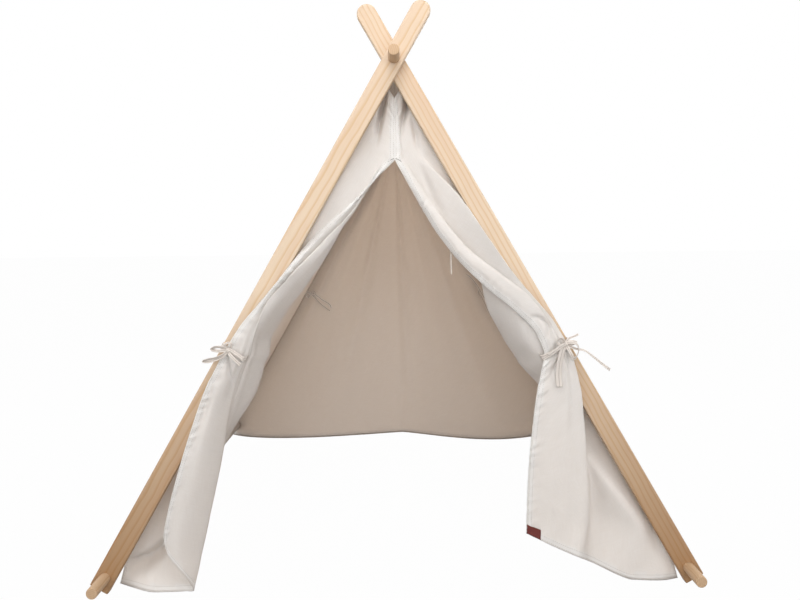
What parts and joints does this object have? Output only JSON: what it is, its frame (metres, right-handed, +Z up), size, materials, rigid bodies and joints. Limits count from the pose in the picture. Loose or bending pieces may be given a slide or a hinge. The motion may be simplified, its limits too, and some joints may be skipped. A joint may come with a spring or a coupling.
{
  "type": "play tent",
  "caption": "A-frame children's play tent: crossed flat boards on round poles, a plain cotton cover and tied-back door flaps.",
  "frame": {"origin": "centre of the bounding box on the floor, under the ridge pole's middle", "axes": "+Z up, +X across the tent towards the viewer's right when facing the door, +Y along the ridge pole from the door to the rear wall"},
  "size_m": [1.3778, 1.2, 1.3182],
  "materials": {
    "board_wood": "planed softwood, bare",
    "pole_wood": "turned dowel, bare",
    "canvas": "unbleached cotton canvas",
    "tape": "folded cotton tape",
    "label": "bare woven label"
  },
  "bodies": {
    "ridge": {"ridge_dowel": "pole_wood", "ridge_sleeve": "canvas", "back_panel": "canvas"},
    "left_frame": {"front_leg_left": "board_wood", "rear_leg_left": "board_wood", "left_ground_dowel": "pole_wood", "left_side_panel": "canvas", "left_door_flap": "canvas", "front_left_tie": "tape", "rear_left_tie": "tape"},
    "right_frame": {"front_leg_right": "board_wood", "rear_leg_right": "board_wood", "right_ground_dowel": "pole_wood", "right_side_panel": "canvas", "right_door_flap": "canvas", "front_right_tie": "tape", "rear_right_tie": "tape", "door_edge_tape": "tape", "corner_label": "label"}
  },
  "joints": [
    {"name": "left_fold", "type": "hinge", "parent": "ridge", "child": "left_frame", "pos_m": [0, 0, 1.18928], "axis": [0, -1, 0], "range_deg": [0, 26], "deforming": ["back_panel", "left_door_flap", "rear_left_tie"]},
    {"name": "right_fold", "type": "hinge", "parent": "ridge", "child": "right_frame", "pos_m": [0, 0, 1.18928], "axis": [0, 1, 0], "range_deg": [0, 26], "deforming": ["right_door_flap", "rear_right_tie", "door_edge_tape", "corner_label"]}
  ],
  "couplings": [
    {"joint": "right_fold", "follows": "left_fold", "ratio": 1}
  ]
}
